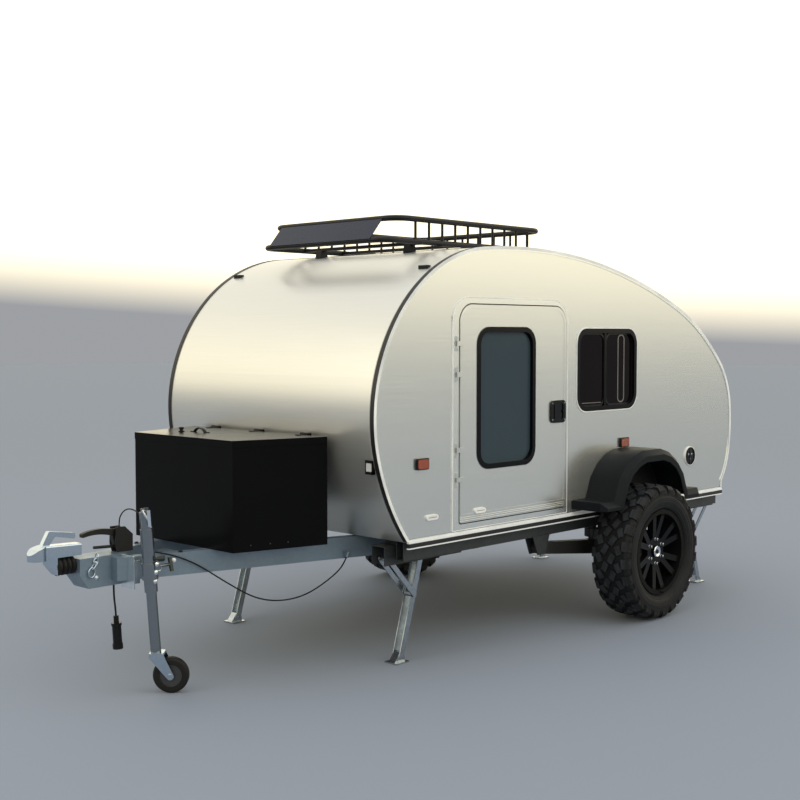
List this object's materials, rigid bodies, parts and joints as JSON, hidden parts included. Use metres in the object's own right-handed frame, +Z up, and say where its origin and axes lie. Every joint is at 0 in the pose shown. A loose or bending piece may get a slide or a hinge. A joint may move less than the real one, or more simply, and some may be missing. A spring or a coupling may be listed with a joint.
{
  "type": "teardrop trailer",
  "caption": "Teardrop camping trailer with side doors, rear galley hatch, tongue box, roof rack, jockey wheel and folding stabiliser legs",
  "frame": {"origin": "on the ground, under the middle of the whole trailer", "axes": "+X is the direction of travel, +Y the trailer's left, +Z up"},
  "size_m": [4.6616, 2.185, 2.251],
  "materials": {
    "silver panel": "satin",
    "plywood": "satin",
    "black trim": "matte",
    "white trim": "gloss",
    "white frame": "satin",
    "black plastic": "matte",
    "dark glass": "gloss",
    "amber lens": "gloss",
    "white plastic": "gloss",
    "mattress cloth": "matte",
    "galvanised steel": "satin",
    "grey steel": "satin",
    "black steel": "satin",
    "dark panel": "gloss",
    "black rubber": "matte",
    "tyre rubber": "matte",
    "black alloy": "satin",
    "cast iron": "matte"
  },
  "bodies": {
    "root": {"side_wall_left": "silver panel", "side_wall_right": "silver panel", "cabin_floor": "plywood", "front_skin": "silver panel", "roof_skin": "silver panel", "rear_panel": "silver panel", "edge_trims": "black trim", "beads_and_sills": "white trim", "door_frame_left": "white frame", "door_frame_right": "white frame", "side_windows": "black plastic", "side_glass": "dark glass", "lamps": "amber lens", "wall_fittings": "white plastic", "mattress": "mattress cloth", "galley": "plywood", "chassis_frame": "galvanised steel", "rear_beam": "galvanised steel", "drawbar": "grey steel", "overrun_box": "grey steel", "coupling_head": "galvanised steel", "coupling_gaiter": "black rubber", "handbrake": "black plastic", "tongue_box": "dark panel", "jockey_post": "galvanised steel", "trailing_arms": "black steel", "mudguards": "grey steel", "stabiliser_rails": "galvanised steel", "roof_rack": "black steel", "rack_fairing": "dark panel", "plug_cable": "black rubber", "plug": "black plastic", "breakaway_cable": "black rubber", "beam_cable": "black rubber"},
    "wheel_left": {"tyre_left": "tyre rubber", "rim_left": "black alloy", "brake_drum_left": "cast iron"},
    "wheel_right": {"tyre_right": "tyre rubber", "rim_right": "black alloy", "brake_drum_right": "cast iron"},
    "door_leaf_left": {"door_left": "silver panel", "door_fittings_left": "black plastic", "door_glass_left": "dark glass"},
    "door_leaf_right": {"door_right": "silver panel", "door_fittings_right": "black plastic", "door_glass_right": "dark glass"},
    "rear_hatch": {"hatch": "silver panel"},
    "box_lid": {"tongue_box_lid": "dark panel"},
    "jockey_stem_body": {"jockey_stem": "galvanised steel"},
    "jockey_fork_body": {"jockey_fork": "galvanised steel"},
    "jockey_wheel_body": {"jockey_wheel": "black rubber"},
    "stay_body_front_left": {"stay_front_left": "galvanised steel"},
    "leg_body_front_left": {"leg_front_left": "galvanised steel"},
    "stay_body_front_right": {"stay_front_right": "galvanised steel"},
    "leg_body_front_right": {"leg_front_right": "galvanised steel"},
    "stay_body_rear_left": {"stay_rear_left": "galvanised steel"},
    "leg_body_rear_left": {"leg_rear_left": "galvanised steel"},
    "stay_body_rear_right": {"stay_rear_right": "galvanised steel"},
    "leg_body_rear_right": {"leg_rear_right": "galvanised steel"}
  },
  "joints": [
    {"name": "wheel_left_spin", "type": "hinge", "parent": "root", "child": "wheel_left", "pos_m": [-1.07624, 0.9675, 0.3875], "axis": [0, 1, 0], "continuous": true},
    {"name": "wheel_right_spin", "type": "hinge", "parent": "root", "child": "wheel_right", "pos_m": [-1.07624, -0.9675, 0.3875], "axis": [0, 1, 0], "continuous": true},
    {"name": "door_left_hinge", "type": "hinge", "parent": "root", "child": "door_leaf_left", "pos_m": [0.41876, 0.8195, 1.2], "axis": [0, 0, -1], "range_deg": [0, 170]},
    {"name": "door_right_hinge", "type": "hinge", "parent": "root", "child": "door_leaf_right", "pos_m": [0.41876, -0.8195, 1.2], "axis": [0, 0, 1], "range_deg": [0, 170]},
    {"name": "hatch_hinge", "type": "hinge", "parent": "root", "child": "rear_hatch", "pos_m": [-1.18424, 0, 1.97087], "axis": [0, 1, 0], "range_deg": [0, 85]},
    {"name": "box_lid_hinge", "type": "hinge", "parent": "root", "child": "box_lid", "pos_m": [1.01876, 0, 1.15], "axis": [0, -1, 0], "range_deg": [0, 85]},
    {"name": "jockey_slide", "type": "slide", "parent": "root", "child": "jockey_stem_body", "axis": [0.0785, 0, 0.9969], "range_m": [0, 0.18]},
    {"name": "jockey_swivel", "type": "hinge", "parent": "jockey_stem_body", "child": "jockey_fork_body", "pos_m": [1.81988, 0.222, 0.17944], "axis": [0.0785, 0, 0.9969], "continuous": true},
    {"name": "jockey_wheel_spin", "type": "hinge", "parent": "jockey_fork_body", "child": "jockey_wheel_body", "pos_m": [1.76909, 0.2666, 0.08295], "axis": [0.7171, 0.6947, -0.0564], "continuous": true},
    {"name": "stay_front_left_hinge", "type": "hinge", "parent": "root", "child": "stay_body_front_left", "pos_m": [0.76076, 0.645, 0.53], "axis": [0, 1, 0], "range_deg": [0, 37.47]},
    {"name": "leg_front_left_hinge", "type": "hinge", "parent": "stay_body_front_left", "child": "leg_body_front_left", "pos_m": [0.57826, 0.645, 0.33102], "axis": [0, 1, 0], "range_deg": [-98.6, 0]},
    {"name": "stay_front_right_hinge", "type": "hinge", "parent": "root", "child": "stay_body_front_right", "pos_m": [0.76076, -0.645, 0.53], "axis": [0, 1, 0], "range_deg": [0, 37.47]},
    {"name": "leg_front_right_hinge", "type": "hinge", "parent": "stay_body_front_right", "child": "leg_body_front_right", "pos_m": [0.57826, -0.645, 0.33102], "axis": [0, 1, 0], "range_deg": [-98.6, 0]},
    {"name": "stay_rear_left_hinge", "type": "hinge", "parent": "root", "child": "stay_body_rear_left", "pos_m": [-2.27424, 0.645, 0.53], "axis": [0, -1, 0], "range_deg": [0, 37.47]},
    {"name": "leg_rear_left_hinge", "type": "hinge", "parent": "stay_body_rear_left", "child": "leg_body_rear_left", "pos_m": [-2.09174, 0.645, 0.33102], "axis": [0, -1, 0], "range_deg": [-98.6, 0]},
    {"name": "stay_rear_right_hinge", "type": "hinge", "parent": "root", "child": "stay_body_rear_right", "pos_m": [-2.27424, -0.645, 0.53], "axis": [0, -1, 0], "range_deg": [0, 37.47]},
    {"name": "leg_rear_right_hinge", "type": "hinge", "parent": "stay_body_rear_right", "child": "leg_body_rear_right", "pos_m": [-2.09174, -0.645, 0.33102], "axis": [0, -1, 0], "range_deg": [-98.6, 0]}
  ],
  "couplings": [
    {"joint": "leg_front_left_hinge", "follows": "stay_front_left_hinge", "ratio": -2.6254},
    {"joint": "leg_front_right_hinge", "follows": "stay_front_right_hinge", "ratio": -2.6254},
    {"joint": "leg_rear_left_hinge", "follows": "stay_rear_left_hinge", "ratio": -2.6254},
    {"joint": "leg_rear_right_hinge", "follows": "stay_rear_right_hinge", "ratio": -2.6254}
  ]
}
